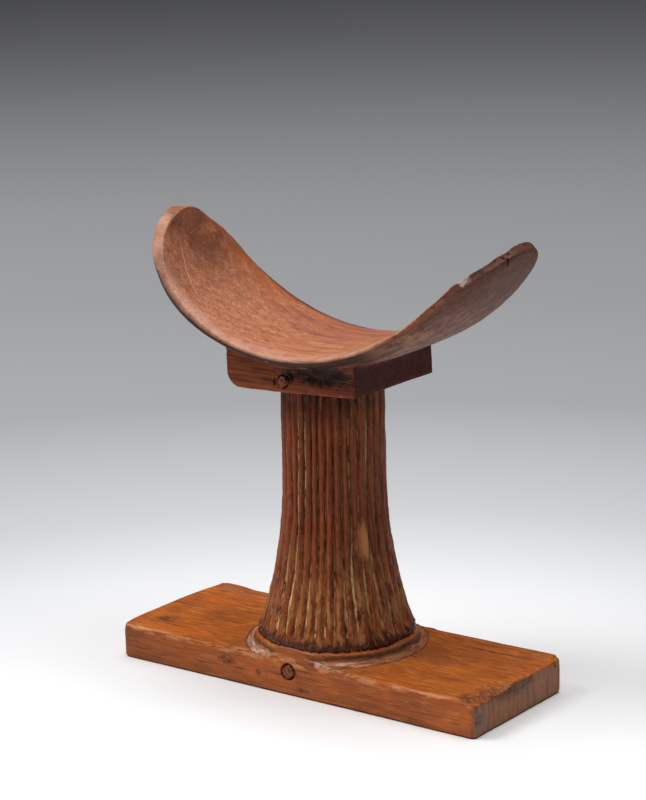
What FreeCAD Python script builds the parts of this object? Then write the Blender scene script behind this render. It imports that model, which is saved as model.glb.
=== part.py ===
import FreeCAD, Part
import math
import os

# A carved wooden headrest: a plank foot with a raised round seat, a fluted column that stands in it,
# and a curved neck rest carved in one with the block below it. A tenon at each end of the column is
# glued into the wood that it meets, and a round peg driven in from the front locks each tenon.
# Millimetres, +Z up, +X along the plank, +Y to the back. The origin is the centre of the underside.

Vec = FreeCAD.Vector

# Plank foot, with the round seat that is left standing when the rest of the top is carved away
PLANK_LENGTH = 203.0
PLANK_WIDTH = 75.0
PLANK_THICKNESS = 17.0
LEFT_END_BOW = 3.0
PLANK_CORNER_R = 3.0
PLANK_EDGE_R = 1.4
SEAT_Z = 24.0
RIM_WIDTH = 2.4
RIM_DROP = 1.8
COVE_WIDTH = 4.3
COVE_FOOT = 1.2
SKIRT_WIDTH = 13.0
# A low ridge left along the back edge of the top
RIDGE_WIDTH = 6.5
RIDGE_HEIGHT = 1.1
RIDGE_EDGE_R = 1.0

# Column: straight above FLARE_TOP_Z, and widening below it as the square of the distance
COLUMN_TOP_Z = 142.6
WAIST_R = 23.5
FOOT_R = 36.3
FLARE_TOP_Z = 100.0
BAND_HEIGHT = 3.0
FOOT_CHAMFER = 0.8
FLUTE_COUNT = 36
FLUTE_DEPTH = 1.3
FLUTE_RUN_OUT = 9.0
# The flutes were set out by eye: they crowd together in three places round the shaft
FLUTE_START = 0.24
CROWDED_PLACES = 3
CROWDED_AT = math.radians(-68)
CROWDING = 0.2

# Tenons and the pegs that lock them
LOWER_TENON_R = 13.0
LOWER_TENON_LENGTH = 19.0
UPPER_TENON_R = 10.0
UPPER_TENON_LENGTH = 12.0
LOWER_PEG = {"x": -1.5, "z": 11.6, "r": 3.5, "proud": 0.0}
UPPER_PEG = {"x": -5.1, "z": 147.8, "r": 2.9, "proud": 0.8}
PEG_PAST_TENON = 3.0

# Neck rest, which leans a little towards the left end. Its own frame has its origin on the column's
# top, and the lowest point of its long edges stands at NECK_LOW_X and NECK_LOW_Z there.
LEAN = 2.4
BLOCK_LENGTH = 73.0
BLOCK_WIDTH = 62.6
BLOCK_X = -1.1
BLOCK_EDGE_R = 1.0
BLOCK_WORN_R = 8.0
NECK_LOW_X = 4.3
NECK_LOW_Z = 17.3
NECK_WIDTH = 75.2
# Distance along the hollow, and its curvature there in turns of 1/mm: the left wing curls up, and
# the right one runs out straight.
NECK_CURVE = [(-113.4, 1 / 39), (-56.7, 1 / 95), (0.0, 1 / 109), (59.2, 1 / 118), (118.4, 0.0)]
RIM_MIDDLE = 3.0
RIM_LEFT_TIP = 8.2
RIM_RIGHT_TIP = 4.5
BELLY = 5.0
# Across its width the hollow is flat, and it rolls over softly towards the two long edges
LIP_DROP = 1.3
LIP_SHARE = 0.22
# The plate's outline, laid flat: how square its shoulders are, and how round its ends
TIP_SHARPNESS = 4.2
TIP_ROUNDNESS = 1.75


def cylinder(radius, start, end):
    """A round bar from one point to another."""
    along = end - start
    return Part.makeCylinder(radius, along.Length, start, along)


def column_radius(z):
    """The radius over the crests of the flutes at a height."""
    fall = max(FLARE_TOP_Z - z, 0.0) / (FLARE_TOP_Z - SEAT_Z)
    return WAIST_R + (FOOT_R - WAIST_R) * fall**2


def peg(place, tenon_r, front_y):
    """A round peg from the front face through a tenon and into the wood behind it."""
    start = Vec(place["x"], front_y - place["proud"], place["z"])
    end = Vec(place["x"], tenon_r + PEG_PAST_TENON, place["z"])
    return cylinder(place["r"], start, end)


def lean(shape):
    """Turns a shape from the neck rest's own frame into the headrest's."""
    shape = shape.copy()
    shape.translate(Vec(0, 0, COLUMN_TOP_Z))
    shape.rotate(Vec(0, 0, COLUMN_TOP_Z), Vec(0, 1, 0), -LEAN)
    return shape


def lower_tenon():
    return cylinder(LOWER_TENON_R, Vec(0, 0, SEAT_Z - LOWER_TENON_LENGTH), Vec(0, 0, SEAT_Z))


def upper_tenon():
    return lean(cylinder(UPPER_TENON_R, Vec(0, 0, -1), Vec(0, 0, UPPER_TENON_LENGTH)))


def round_seat():
    """The raised seat: flat inside, a sloping rim, a hollow flank, and a skirt out to the plank."""
    rim_r = FOOT_R + RIM_WIDTH
    rim_z = SEAT_Z - RIM_DROP
    cove_r = rim_r + COVE_WIDTH
    cove_z = PLANK_THICKNESS + COVE_FOOT
    skirt_r = cove_r + SKIRT_WIDTH
    sink = PLANK_THICKNESS - 2.0
    inner = [Vec(0, 0, sink), Vec(0, 0, SEAT_Z), Vec(FOOT_R, 0, SEAT_Z), Vec(rim_r, 0, rim_z)]
    hollow = Vec(rim_r + 0.3 * COVE_WIDTH, 0, cove_z + 0.3 * (rim_z - cove_z))
    outer = [Vec(cove_r, 0, cove_z), Vec(skirt_r, 0, PLANK_THICKNESS), Vec(skirt_r, 0, sink), inner[0]]
    edges = [Part.makeLine(a, b) for a, b in zip(inner, inner[1:])]
    edges.append(Part.Arc(inner[-1], hollow, outer[0]).toShape())
    edges += [Part.makeLine(a, b) for a, b in zip(outer, outer[1:])]
    return Part.Face(Part.Wire(edges)).revolve(Vec(0, 0, 0), Vec(0, 0, 1), 360)


def plank_outline():
    """The plank seen from above, with its left end bowed a little outwards."""
    x, y = PLANK_LENGTH / 2, PLANK_WIDTH / 2
    bow = Part.Arc(Vec(-x, y, 0), Vec(-x - LEFT_END_BOW, 0, 0), Vec(-x, -y, 0))
    corners = [Vec(-x, -y, 0), Vec(x, -y, 0), Vec(x, y, 0), Vec(-x, y, 0)]
    sides = [Part.makeLine(a, b) for a, b in zip(corners, corners[1:])]
    return Part.Wire(sides + [bow.toShape()])


def back_ridge():
    """The low round-shouldered ridge along the back edge, sunk into the plank."""
    length = PLANK_LENGTH - 2 * PLANK_CORNER_R
    sink = 4.0
    inset = 0.4
    corner = Vec(-length / 2, PLANK_WIDTH / 2 - inset - RIDGE_WIDTH, PLANK_THICKNESS - sink)
    ridge = Part.makeBox(length, RIDGE_WIDTH, sink + RIDGE_HEIGHT, corner)
    top = [e for e in ridge.Edges if e.BoundBox.ZMin > PLANK_THICKNESS]
    return ridge.makeFillet(RIDGE_EDGE_R, top)


def base_plank():
    """Plank with worn edges; the seat is wider than the plank, so the sides cut it off flat."""
    plank = Part.Face(plank_outline()).extrude(Vec(0, 0, PLANK_THICKNESS))
    upright = [e for e in plank.Edges if abs(e.tangentAt(e.FirstParameter).z) > 0.9]
    plank = plank.makeFillet(PLANK_CORNER_R, upright)
    flat = [e for e in plank.Edges if abs(e.tangentAt(e.FirstParameter).z) < 0.1]
    plank = plank.makeFillet(PLANK_EDGE_R, flat)
    slab = Part.makeBox(PLANK_LENGTH, PLANK_WIDTH, SEAT_Z)
    slab.translate(Vec(-PLANK_LENGTH / 2, -PLANK_WIDTH / 2, 0))
    body = plank.fuse([round_seat().common(slab), back_ridge()]).removeSplitter()
    front_y = -PLANK_WIDTH / 2
    return body.cut(lower_tenon()).cut(peg(LOWER_PEG, LOWER_TENON_R, front_y))


def fluted_ring(z, depth):
    """A closed outline of hollow arcs that meet at sharp crests."""
    crest_r = column_radius(z)

    def point(place, radius):
        turn = 2 * math.pi * (place + FLUTE_START) / FLUTE_COUNT
        swing = CROWDING / CROWDED_PLACES * math.sin(CROWDED_PLACES * (turn - CROWDED_AT))
        return Vec(radius * math.cos(turn - swing), radius * math.sin(turn - swing), z)

    arcs = []
    for i in range(FLUTE_COUNT):
        arc = Part.Arc(point(i, crest_r), point(i + 0.5, crest_r - depth), point(i + 1, crest_r))
        arcs.append(arc.toShape())
    return Part.Wire(arcs)


def column():
    """Flared shaft with flutes that run out above a plain band, and a tenon at each end."""
    band_top = SEAT_Z + BAND_HEIGHT
    crest_drop = WAIST_R * (1 - math.cos(math.pi / FLUTE_COUNT))
    shallow = crest_drop + 0.2
    deep = crest_drop + FLUTE_DEPTH
    levels = [(band_top, shallow), (band_top + FLUTE_RUN_OUT, deep)]
    levels += [(z, deep) for z in (50, 64, 82, FLARE_TOP_Z, 124, COLUMN_TOP_Z + 4)]
    shaft = Part.makeLoft([fluted_ring(z, depth) for z, depth in levels], True, False)
    above = lean(Part.makeBox(100, 100, 20, Vec(-50, -50, 0)))
    edge = Part.makeCone(FOOT_R - FOOT_CHAMFER, FOOT_R, FOOT_CHAMFER, Vec(0, 0, SEAT_Z))
    band_start = Vec(0, 0, SEAT_Z + FOOT_CHAMFER)
    band = Part.makeCone(FOOT_R, column_radius(band_top), BAND_HEIGHT - FOOT_CHAMFER, band_start)
    body = shaft.cut(above).fuse([edge, band, lower_tenon(), upper_tenon()])
    body = body.cut(peg(LOWER_PEG, LOWER_TENON_R, -PLANK_WIDTH / 2))
    return body.cut(peg(UPPER_PEG, UPPER_TENON_R, -BLOCK_WIDTH / 2))


def curvature(s):
    """Curvature of the hollow, which eases from one given place to the next."""
    for (s0, k0), (s1, k1) in zip(NECK_CURVE, NECK_CURVE[1:]):
        if s <= s1:
            return k0 + (k1 - k0) * (s - s0) / (s1 - s0)
    return NECK_CURVE[-1][1]


def hollow_point(s, depth=0.0):
    """Place at a distance along the hollow and a depth below its long edges, and the slope there."""
    steps = 80
    x, z, slope = NECK_LOW_X, NECK_LOW_Z, 0.0
    for i in range(steps):
        turn = curvature(s * (i + 0.5) / steps) * s / steps
        x += math.cos(slope + turn / 2) * s / steps
        z += math.sin(slope + turn / 2) * s / steps
        slope += turn
    return Vec(x + depth * math.sin(slope), 0, z - depth * math.cos(slope)), slope


def cradle_section(s):
    """Slice across the curved plate: rolled over at both lips, upright rims, and bellied below."""
    reach, tip = (NECK_CURVE[-1][0], RIM_RIGHT_TIP) if s > 0 else (NECK_CURVE[0][0], RIM_LEFT_TIP)
    part = s / reach
    share = (1 - part**TIP_SHARPNESS) ** (1 / TIP_ROUNDNESS)
    half = NECK_WIDTH / 2 * share
    rim = RIM_MIDDLE + (tip - RIM_MIDDLE) * part**2
    centre, slope = hollow_point(s)
    down = Vec(math.sin(slope), 0, -math.cos(slope))

    def point(across, depth):
        return centre + Vec(0, across * half, 0) + down * depth

    def rise(across):
        fall = max(abs(across) - (1 - LIP_SHARE), 0.0) / LIP_SHARE
        return LIP_DROP * share * (1 - fall**2)

    belly = [point(t, rim + BELLY * share * (1 - t**4)) for t in (-1, -0.75, -0.4, 0, 0.4, 0.75, 1)]
    seat = [point(t, -rise(t)) for t in (1, 0.95, 0.87, 0.75, 0.4, 0, -0.4, -0.75, -0.87, -0.95, -1)]
    under = Part.BSplineCurve()
    under.interpolate(belly)
    over = Part.BSplineCurve()
    over.interpolate(seat)
    return Part.Wire([
        over.toShape(),
        Part.makeLine(seat[-1], belly[0]),
        under.toShape(),
        Part.makeLine(belly[-1], seat[0]),
    ])


def cradle():
    """The curved plate, with slices packed closer towards the round tips."""
    steps = 10
    nearly = 0.9985
    places = [math.sin(math.pi / 2 * i / steps) * nearly for i in range(-steps, steps + 1)]
    left, right = -NECK_CURVE[0][0], NECK_CURVE[-1][0]
    slices = [cradle_section(p * (right if p > 0 else left)) for p in places]
    return Part.makeLoft(slices, True, False)


def block():
    """The block under the cradle, up into the plate, with one long-worn lower edge."""
    x0 = BLOCK_X - BLOCK_LENGTH / 2
    corner = Vec(x0, -BLOCK_WIDTH / 2, 0)
    trim = Part.makeBox(BLOCK_LENGTH, BLOCK_WIDTH, 40, corner)
    upright = [e for e in trim.Edges if e.BoundBox.ZLength > 20]
    trim = trim.makeFillet(BLOCK_EDGE_R, upright)
    worn = Part.makeBox(BLOCK_WORN_R, BLOCK_WIDTH, BLOCK_WORN_R, corner)
    axis_start = Vec(x0 + BLOCK_WORN_R, -BLOCK_WIDTH / 2, BLOCK_WORN_R)
    worn = worn.cut(cylinder(BLOCK_WORN_R, axis_start, axis_start + Vec(0, BLOCK_WIDTH, 0)))

    inside_plate = 1.5
    top = [hollow_point(s, inside_plate)[0] for s in range(-45, 46, 9)]
    curve = Part.BSplineCurve()
    curve.interpolate(top)
    sides = [top[-1], Vec(top[-1].x, 0, 0), Vec(top[0].x, 0, 0), top[0]]
    edges = [Part.makeLine(a, b) for a, b in zip(sides, sides[1:])]
    wire = Part.Wire([curve.toShape()] + edges)
    wire.translate(Vec(0, -BLOCK_WIDTH / 2, 0))
    under_plate = Part.Face(wire).extrude(Vec(0, BLOCK_WIDTH, 0))
    return trim.cut(worn).common(under_plate)


def neck_rest():
    """Cradle and block in one piece, with the socket for the upper tenon and its peg hole."""
    body = lean(cradle().fuse(block())).removeSplitter()
    body = body.cut(upper_tenon())
    return body.cut(peg(UPPER_PEG, UPPER_TENON_R, -BLOCK_WIDTH / 2))


NODES = {
    "base_plank": base_plank(),
    "column": column(),
    "neck_rest": neck_rest(),
    "base_peg": peg(LOWER_PEG, LOWER_TENON_R, -PLANK_WIDTH / 2),
    "neck_rest_peg": peg(UPPER_PEG, UPPER_TENON_R, -BLOCK_WIDTH / 2),
}

os.makedirs("parts", exist_ok=True)
for name, shape in NODES.items():
    shape.Solids[0].exportStep("parts/" + name + ".step")
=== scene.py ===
import math

import bpy
from mathutils import Matrix, Vector, noise


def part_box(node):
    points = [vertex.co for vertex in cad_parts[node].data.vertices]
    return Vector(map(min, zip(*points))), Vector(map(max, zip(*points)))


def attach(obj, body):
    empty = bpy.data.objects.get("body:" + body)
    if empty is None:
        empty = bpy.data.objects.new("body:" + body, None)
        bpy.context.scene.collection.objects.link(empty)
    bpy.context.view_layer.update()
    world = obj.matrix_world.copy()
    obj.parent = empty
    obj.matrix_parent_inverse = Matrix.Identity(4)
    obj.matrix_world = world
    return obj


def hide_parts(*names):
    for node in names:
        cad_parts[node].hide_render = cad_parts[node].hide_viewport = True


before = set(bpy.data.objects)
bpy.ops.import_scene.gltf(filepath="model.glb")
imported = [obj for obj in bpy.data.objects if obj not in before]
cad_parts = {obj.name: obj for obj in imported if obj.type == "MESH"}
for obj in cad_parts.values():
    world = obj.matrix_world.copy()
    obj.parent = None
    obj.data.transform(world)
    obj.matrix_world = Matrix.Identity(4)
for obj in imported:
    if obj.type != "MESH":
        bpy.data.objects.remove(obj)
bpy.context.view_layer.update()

# The headrest's sizes and places are in millimetres, and the studio's are in metres
MM = 0.001

# ---------------------------------------------------------------------------------------------
# Plank foot
# One piece of dense orange-brown hardwood, adzed flat, with a round seat and a low back ridge
# left standing. Its edges are rubbed round, and the right front corner has crumbled.
# ---------------------------------------------------------------------------------------------

PLANK_LOW, PLANK_HIGH = (Vector(corner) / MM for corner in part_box("base_plank"))
PLANK_TOP = 17.0
PLANK_SKIN = 0.52
SHAFT_FOOT_R = 36.3
RIM_R = 38.7
COVE_R = 43.0
BASE_PEG = Vector((-1.5, PLANK_LOW.y, 11.6))
BASE_PEG_R = 3.5
MOST_TRIANGLES = 190000


def pick(piece):
    """Selects one piece only, so that an operator acts on nothing else."""
    bpy.ops.object.select_all(action="DESELECT")
    piece.select_set(True)
    bpy.context.view_layer.objects.active = piece


def work(piece, kind, **settings):
    """Adds one modifier with its settings, and applies it."""
    pick(piece)
    bpy.ops.object.modifier_add(type=kind)
    modifier = piece.modifiers[-1]
    for name, value in settings.items():
        setattr(modifier, name, value)
    bpy.ops.object.modifier_apply(modifier=modifier.name)


def blank(node, name, skin):
    """A new piece in the shape of a CAD node: its loose triangles are merged, and it gets one even
    skin of faces about `skin` mm wide, fine enough to hold tool marks and wear."""
    piece = bpy.data.objects.new(name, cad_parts[node].data.copy())
    piece.data.name = name
    piece.data.materials.clear()
    bpy.context.scene.collection.objects.link(piece)
    pick(piece)
    bpy.ops.object.mode_set(mode="EDIT")
    bpy.ops.mesh.select_all(action="SELECT")
    bpy.ops.mesh.remove_doubles(threshold=0.002 * MM)
    bpy.ops.object.mode_set(mode="OBJECT")
    work(piece, "REMESH", mode="VOXEL", voxel_size=skin * MM, use_smooth_shade=True)
    work(piece, "SMOOTH", factor=0.5, iterations=3)
    return piece


def near(middle, size):
    """A share that is 1 at a place and falls to 0 at the edge of an ellipsoid, sizes in mm."""

    def share(point):
        gap = sum(((p - m) / (s / 2)) ** 2 for p, m, s in zip(point, middle, size))
        return max(0.0, 1 - gap)

    return share


def bite(piece, share):
    """Notes how strongly the next tool takes at each point, from a share of 0 to 1."""
    group = piece.vertex_groups.new(name="bite")
    for vertex in piece.data.vertices:
        strength = share(vertex.co / MM)
        if strength > 0:
            group.add([vertex.index], strength, "REPLACE")
    return group


def carve(piece, across, deep, share=None, stretch=(1, 1, 1), detail=1, axis="NORMAL"):
    """Takes wood away in hollows about `across` mm wide and up to `deep` mm deep, all over the
    piece or only where a share says. The tool goes straight into the surface, or along one axis
    where the hollows are so deep that the surface no longer has a clear direction."""
    pattern = bpy.data.textures.new("hollows", "CLOUDS")
    pattern.noise_scale = across * MM
    pattern.noise_depth = detail
    bpy.ops.object.select_all(action="DESELECT")
    bpy.ops.object.empty_add()
    guide = bpy.context.object
    guide.scale = stretch
    bpy.context.view_layer.update()
    group = bite(piece, share) if share else None
    work(
        piece, "DISPLACE", texture=pattern, texture_coords="OBJECT", texture_coords_object=guide,
        direction=axis, strength=deep * MM, mid_level=1.0, vertex_group=group.name if group else "",
    )
    bpy.data.objects.remove(guide)
    if group:
        piece.vertex_groups.remove(piece.vertex_groups["bite"])


def shift(piece, share, axis, distance):
    """Moves the wood along one axis by up to `distance` mm, as a share says."""
    bite(piece, share)
    work(
        piece, "DISPLACE", direction=axis, strength=distance * MM, mid_level=0.0,
        vertex_group="bite",
    )
    piece.vertex_groups.remove(piece.vertex_groups["bite"])


def rub(piece, share, passes):
    """Rubs a place smooth, where a share says."""
    bite(piece, share)
    work(piece, "SMOOTH", factor=0.5, iterations=passes, vertex_group="bite")
    piece.vertex_groups.remove(piece.vertex_groups["bite"])


def gouge(piece, chips):
    """Breaks chips out of a piece. Each is a jagged stone that is cut out of it: its place, its
    size each way, the seed of its shape, and how it is turned."""
    stones = []
    for place, size, seed, turn in chips:
        bpy.ops.object.select_all(action="DESELECT")
        bpy.ops.mesh.primitive_ico_sphere_add(subdivisions=3, radius=1, location=Vector(place) * MM)
        stone = bpy.context.object
        bpy.ops.object.mode_set(mode="EDIT")
        bpy.ops.transform.vertex_random(offset=0.22, uniform=0.3, normal=0.6, seed=seed)
        bpy.ops.object.mode_set(mode="OBJECT")
        stone.scale = [s / 2 * MM for s in size]
        stone.rotation_euler = [math.radians(t) for t in turn]
        stones.append(stone)
    for stone in stones:
        stone.select_set(True)
    bpy.ops.object.join()
    heap = bpy.context.object
    work(piece, "BOOLEAN", operation="DIFFERENCE", object=heap, solver="MANIFOLD")
    bpy.data.objects.remove(heap)


def keep(piece, node):
    """Holds every point of a piece inside the box of the part it stands for."""
    low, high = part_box(node)
    for vertex in piece.data.vertices:
        vertex.co = [min(max(c, l), h) for c, l, h in zip(vertex.co, low, high)]


def thin(piece):
    """Joins the small faces where the surface is plain, and keeps them where it is worked."""
    triangles = sum(len(face.vertices) - 2 for face in piece.data.polygons)
    if triangles > MOST_TRIANGLES:
        work(piece, "DECIMATE", ratio=MOST_TRIANGLES / triangles)
    piece.data.materials.clear()
    pick(piece)
    bpy.ops.object.shade_smooth()


def front_edge(point):
    """The whole of the long top edge at the front."""
    return 1.0 if point.y < PLANK_LOW.y + 2.5 and point.z > PLANK_TOP - 2.5 else 0.0


def rough_arris(point):
    """The long top edge at the front, and more of it at the crumbled right end."""
    edge = max(0.0, 1 - (point.y - PLANK_LOW.y) / 4) * max(0.0, 1 - abs(point.z - PLANK_TOP) / 4)
    end = max(0.0, 1 - (PLANK_HIGH.x - point.x) / 7) * max(0.0, 1 - abs(point.z - PLANK_TOP) / 4.5)
    right_front = 1.0 if point.y < 10 else 0.35
    return min(1.0, 0.5 * edge + end * right_front)


def peg_gap(point):
    """The worn ring round the end of the peg that locks the tenon."""
    gap = math.hypot(point.x - BASE_PEG.x, point.z - BASE_PEG.z) - BASE_PEG_R
    return 1.0 if point.y < PLANK_LOW.y + 1.5 and -0.2 < gap < 0.5 else 0.0


foot = blank("base_plank", "foot", PLANK_SKIN)
# Broad adzed hollows, a raised back left corner, and fine tool marks along the grain
carve(foot, 34, 0.7, stretch=(2.2, 1, 1))
shift(foot, near((-90, 37, PLANK_TOP), (24, 16, 10)), "Z", 0.9)
carve(foot, 7, 0.22, stretch=(3, 1, 1), detail=2)
# The front edge rubbed round, the crumbled right end, and the ring round the peg
rub(foot, front_edge, 16)
carve(foot, 3.2, 3.4, share=near((98, -21, PLANK_TOP), (15, 38, 7)), detail=2, axis="Z")
carve(foot, 3.5, 1.8, share=rough_arris, detail=2)
carve(foot, 2.5, 1.3, share=peg_gap)
# Chips at the right end, then in the long front edge, then along the back ridge
gouge(foot, [
    ((101.5, -22, 17.5), (7, 9, 3.4), 1, (0, 8, 25)), ((100.5, -34, 17.3), (6, 5, 2.6), 2, (0, -8, 50)),
    ((100.8, -8, 17.6), (5, 6, 2.6), 3, (0, 0, 75)), ((97.5, -15, 17.6), (3.5, 5, 1.5), 4, (0, 0, 10)),
    ((101.8, 21, 18.2), (4, 2.4, 3), 5, (0, 8, 0)), ((103, 3, 17.8), (5, 7, 3), 6, (0, -8, 20)),
    ((103, 31, 15), (6, 3, 5), 7, (0, 0, 0)), ((-75, -38, 17.6), (5, 2, 1.6), 8, (0, 0, 10)),
    ((-58, -38, 17.6), (9, 1.6, 1.3), 9, (0, 0, 0)), ((-98, 37.5, 18), (8, 5, 2.4), 10, (0, 0, 10)),
    ((-70, 38.2, 18.8), (9, 3.6, 2.2), 11, (0, 0, 0)), ((-45, 38.2, 18.6), (6, 3, 2), 12, (0, 0, 5)),
    ((66, 38, 18.2), (9, 3, 1.6), 13, (0, 0, 0)), ((90, 38, 18.4), (7, 3, 2), 14, (0, 0, 8)),
])
keep(foot, "base_plank")
thin(foot)

PLUS = {"operation": "ADD"}
MINUS = {"operation": "SUBTRACT"}
TIMES = {"operation": "MULTIPLY"}
EASE = {"interpolation_type": "SMOOTHSTEP"}
LARGER = {"operation": "MAXIMUM"}
LENGTH = {"operation": "LENGTH"}
LAY = {"data_type": "RGBA", "blend_type": "MIX"}
STAIN = {"data_type": "RGBA", "blend_type": "MULTIPLY"}


def paint(code):
    """A linear colour from an sRGB hex code."""
    parts = [int(code[i:i + 2], 16) / 255 for i in (1, 3, 5)]
    return [c / 12.92 if c <= 0.04045 else ((c + 0.055) / 1.055) ** 2.4 for c in parts] + [1.0]


def adder(material):
    """Returns the function that adds a node to a material: its kind, its own settings, then what
    goes into its inputs, in order or by name. Stops are a ramp's places and its colours or greys."""
    tree = material.node_tree

    def add(kind, settings=None, *inputs, out=0, stops=(), **named):
        made = tree.nodes.new("ShaderNode" + kind)
        for name, value in (settings or {}).items():
            setattr(made, name, value)
        for i, (position, tone) in enumerate(stops):
            elements = made.color_ramp.elements
            stop = elements[i] if i < 2 else elements.new(position)
            stop.position = position
            stop.color = paint(tone) if isinstance(tone, str) else (tone, tone, tone, 1.0)
        sockets = [s for s in made.inputs if s.enabled]
        pairs = list(zip(sockets, inputs))
        by_name = {s.name.replace(" ", "_"): s for s in reversed(sockets)}
        pairs += [(by_name[name], value) for name, value in named.items()]
        for socket, value in pairs:
            if isinstance(value, bpy.types.NodeSocket):
                tree.links.new(value, socket)
            elif value is not None:
                socket.default_value = paint(value) if isinstance(value, str) else value
        return [s for s in made.outputs if s.enabled][out]

    return add


def patches(add, place, size, soft=(0.45, 0.6), detail=4.0, rough=0.55):
    """Patches from 0 to 1, about `size` mm wide, with soft or hard edges."""
    cloud = add("TexNoise", None, place, Scale=1 / (size * MM), Detail=detail, Roughness=rough)
    return add("MapRange", EASE, cloud, soft[0], soft[1], 0.0, 1.0)


def mark(add, place, middle, size, ragged=0.25):
    """One stain or rubbed place: 1 in the middle of an ellipsoid, with a ragged edge."""
    centred = add("VectorMath", MINUS, place, [m * MM for m in middle])
    scaled = add("VectorMath", TIMES, centred, [2 / (s * MM) for s in size])
    distance = add("VectorMath", LENGTH, scaled)
    cloud = add("TexNoise", None, place, Scale=1 / (2.2 * MM), Detail=5.0, Roughness=0.6)
    edge = add("Math", {"operation": "MULTIPLY_ADD"}, cloud, -4 * ragged, 1 + 2 * ragged)
    gap = add("Math", MINUS, edge, distance)
    return add("MapRange", EASE, gap, -0.05, 0.5, 0.0, 1.0)


def grain(add, stretch):
    """Grain of a wood that runs along the stretched axis. Returns the place, the place along the
    fibres, the fibres and the open pores."""
    place = add("TexCoord", None, out=3)
    along = add("VectorMath", TIMES, place, stretch)
    fibres = add("TexNoise", None, along, Scale=1 / (0.9 * MM), Detail=5.0, Roughness=0.65)
    pore_noise = add("TexNoise", None, along, Scale=1 / (0.6 * MM), Detail=1.5)
    pores = add("MapRange", EASE, pore_noise, 0.62, 0.7, 0.0, 1.0)
    return place, along, fibres, pores


def growth_rings(add, along, pith, ring, wander=5):
    """Growth rings in wood whose grain runs along X, `ring` mm apart round a pith, straying by a
    few mm as `wander` says."""
    stray = add("TexNoise", None, along, Scale=1 / (14 * MM), Detail=2.0, out=1)
    offset = add("VectorMath", MINUS, stray, (0.5, 0.5, 0.5))
    bent = add("VectorMath", {"operation": "MULTIPLY_ADD"}, offset, [wander * MM] * 3, along)
    ring_place = add("VectorMath", MINUS, bent, [p * MM for p in pith])
    return add(
        "TexWave", {"wave_type": "RINGS", "rings_direction": "X", "wave_profile": "SAW"},
        ring_place, Scale=math.pi / 10 / (ring * MM), Distortion=1.8, Detail=3.0,
    )


def arris(add, start, full):
    """Sharp outer edges, where hands rub, or sharp inner ones where the range runs downwards."""
    return add("MapRange", EASE, add("NewGeometry", None, out=7), start, full, 0.0, 1.0)


def finish(name, build, shine):
    """Starts a wood finish, lets `build` lay its colour, roughness and relief, and joins them."""
    material = bpy.data.materials.new(name)
    material.use_nodes = True
    add = adder(material)
    skin = material.node_tree.nodes["Principled BSDF"]
    colour, roughness, height, deep = build(add)
    link = material.node_tree.links.new
    link(colour, skin.inputs["Base Color"])
    link(roughness, skin.inputs["Roughness"])
    link(add("Bump", None, Strength=0.8, Distance=deep * MM, Height=height), skin.inputs["Normal"])
    skin.inputs["Specular IOR Level"].default_value = shine
    return material


def foot_faces(add, place, along, long, rings, fibres):
    """Bare wood of the foot: straight fine grain with paler and darker streaks along it, a darker front,
    more so at the left end, and streaked end grain under a thin grey film at the right end."""
    x = add("SeparateXYZ", None, place)
    side = add("NewGeometry", None, out=1)
    facing_x, facing_y, _ = add("SeparateXYZ", None, side).node.outputs
    colour = add("ValToRGB", None, fibres, stops=((0.3, "#984811"), (0.5, "#c6651c"), (0.7, "#d67e28")))
    ring_tone = add("ValToRGB", None, rings, stops=((0.0, 0.62), (0.7, 1.0), (1.0, 0.75)))
    colour = add("Mix", STAIN, 0.6, colour, ring_tone)
    for veins, amount, tone in (
        (patches(add, place, 26, (0.42, 0.66)), 0.5, "#8a4418"),
        (patches(add, along, 1.6, (0.5, 0.68), 5.0), 0.25, "#7a3511"),
        (patches(add, long, 2.6, (0.52, 0.68), 6.0, 0.65), 0.35, "#d4904f"),
        (patches(add, long, 6, (0.54, 0.7), 6.0, 0.65), 0.35, "#6a3014"),
    ):
        colour = add("Mix", LAY, add("Math", TIMES, veins, amount), colour, tone)

    front = add("MapRange", EASE, facing_y, -0.5, -0.9, 0.0, 1.0)
    away_from_left_end = add("MapRange", EASE, x, -95 * MM, -30 * MM, 0.0, 1.0)
    front_tone = add("Mix", LAY, away_from_left_end, "#d3c9c2", "#f1e9e0")
    colour = add("Mix", STAIN, front, colour, front_tone)

    end = add("MapRange", EASE, facing_x, 0.5, 0.9, 0.0, 1.0)
    upright = add("VectorMath", TIMES, place, (1, 1, 0.14))
    end_streaks = patches(add, upright, 2.4, (0.42, 0.66), 6.0, 0.65)
    end_colour = add("Mix", LAY, end_streaks, "#94613a", "#663a22")
    film = mark(add, place, (PLANK_HIGH.x, -34, 6), (8, 16, 16), 0.4)
    film = add("Math", LARGER, film, patches(add, place, 9, (0.55, 0.75)))
    end_colour = add("Mix", LAY, add("Math", TIMES, film, 0.5), end_colour, "#84706a")
    return add("Mix", LAY, add("Math", TIMES, end, 0.85), colour, end_colour)


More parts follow.
